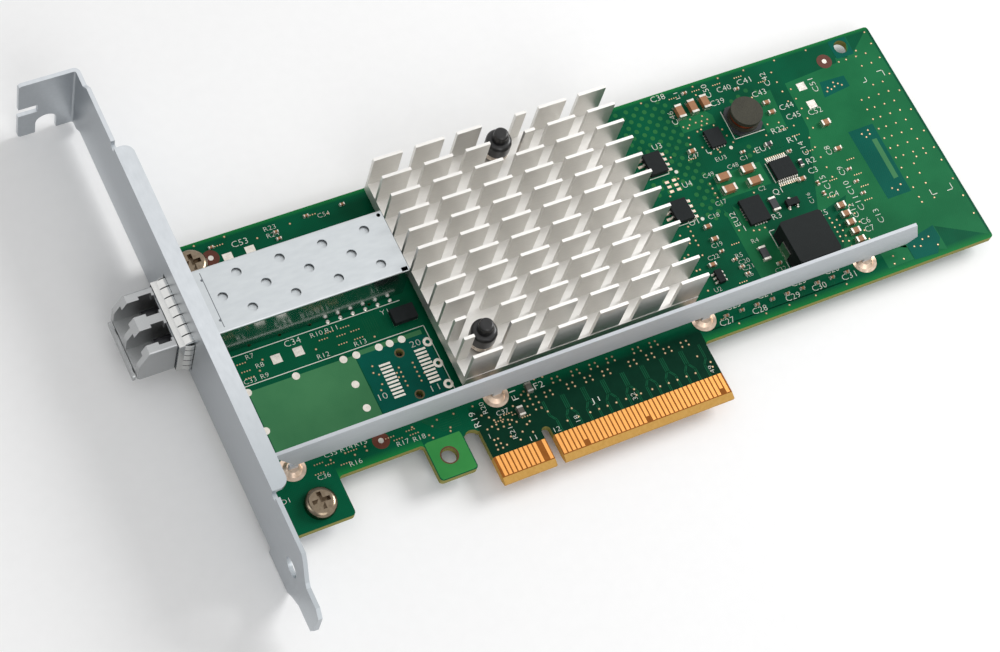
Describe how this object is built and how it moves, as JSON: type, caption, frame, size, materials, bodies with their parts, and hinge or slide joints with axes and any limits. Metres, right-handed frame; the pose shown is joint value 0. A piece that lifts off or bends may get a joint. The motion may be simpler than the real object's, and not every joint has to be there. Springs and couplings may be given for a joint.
{
  "type": "network interface card",
  "caption": "Low-height network interface card with a slot bracket, optical port in a metal cage, bladed heat sink, stiffener bar and gold edge contacts.",
  "frame": {"origin": "on the board's component side, in the middle of the key slot, level with the contact tips", "axes": "+X along the card away from the bracket, +Y from the contact tips to the top edge, +Z out of the component side"},
  "size_m": [0.1812, 0.12, 0.0207],
  "materials": {
    "solder_mask_board": "green solder mask over glass laminate",
    "contact_gold": "gold plated copper",
    "bracket_steel": "plated sheet steel, satin",
    "screw_nickel": "nickel plated steel",
    "cage_steel": "tin plated sheet, smooth",
    "spring_steel": "bright plated spring strip",
    "socket_plastic": "black moulded plastic",
    "tinned_metal": "tin plated",
    "module_casting": "fine cast, nickel plated",
    "barrel_plastic": "moulded",
    "heatsink_aluminium": "milled, satin",
    "pin_plastic": "black moulded nylon",
    "spring_wire": "drawn wire",
    "chip_substrate": "laminate",
    "chip_lid": "plated lid",
    "thermal_pad": "soft filled pad",
    "solder": "reflowed solder",
    "stiffener_steel": "rolled strip, brushed",
    "capacitor_ceramic": "fired ceramic",
    "resistor_glass": "glazed",
    "bead_ferrite": "sintered ferrite",
    "chip_mould": "moulded epoxy",
    "coil_copper": "enamelled copper wire"
  },
  "bodies": {
    "card": {"circuit_board": "solder_mask_board", "edge_contacts_top": "contact_gold", "edge_contacts_bottom": "contact_gold", "bracket": "bracket_steel", "bracket_screws": "screw_nickel", "cage_cover": "cage_steel", "cage_base": "cage_steel", "cage_spring_fingers": "spring_steel", "host_connector_body": "socket_plastic", "host_connector_contacts": "tinned_metal", "transceiver_housing": "module_casting", "transceiver_cover": "cage_steel", "optical_barrels": "barrel_plastic", "transceiver_board": "solder_mask_board", "bail_pin": "screw_nickel", "heatsink": "heatsink_aluminium", "push_pins": "pin_plastic", "push_pin_springs": "spring_wire", "controller_balls": "solder", "controller_substrate": "chip_substrate", "controller_lid": "chip_lid", "thermal_pad": "thermal_pad", "stiffener_bar": "stiffener_steel", "stiffener_solder": "solder", "large_capacitor_bodies": "capacitor_ceramic", "large_capacitor_ends": "tinned_metal", "medium_capacitor_bodies": "capacitor_ceramic", "medium_capacitor_ends": "tinned_metal", "small_capacitor_bodies": "capacitor_ceramic", "small_capacitor_ends": "tinned_metal", "tiny_capacitor_bodies": "capacitor_ceramic", "tiny_capacitor_ends": "tinned_metal", "ferrite_bead_bodies": "bead_ferrite", "ferrite_bead_ends": "tinned_metal", "resistor_bodies": "resistor_glass", "resistor_ends": "tinned_metal", "back_capacitor_bodies": "capacitor_ceramic", "back_capacitor_ends": "tinned_metal", "memory_chip_bodies": "chip_mould", "memory_chip_leads": "tinned_metal", "driver_chip_body": "chip_mould", "driver_chip_leads": "tinned_metal", "regulator_bodies": "chip_mould", "regulator_pads": "tinned_metal", "transistor_bodies": "chip_mould", "transistor_leads": "tinned_metal", "crystal_body": "chip_mould", "crystal_pads": "tinned_metal", "drum_inductor_base": "resistor_glass", "drum_inductor_core": "bead_ferrite", "drum_inductor_coil": "coil_copper", "power_choke_body": "bead_ferrite", "power_choke_terminals": "tinned_metal", "bare_lands": "solder"},
    "bail": {"bail_latch": "module_casting"}
  },
  "joints": [
    {"name": "bail_hinge", "type": "hinge", "parent": "card", "child": "bail", "pos_m": [-0.0642, 0.05155, 0.00105], "axis": [0, -1, 0], "range_deg": [0, 90]}
  ]
}
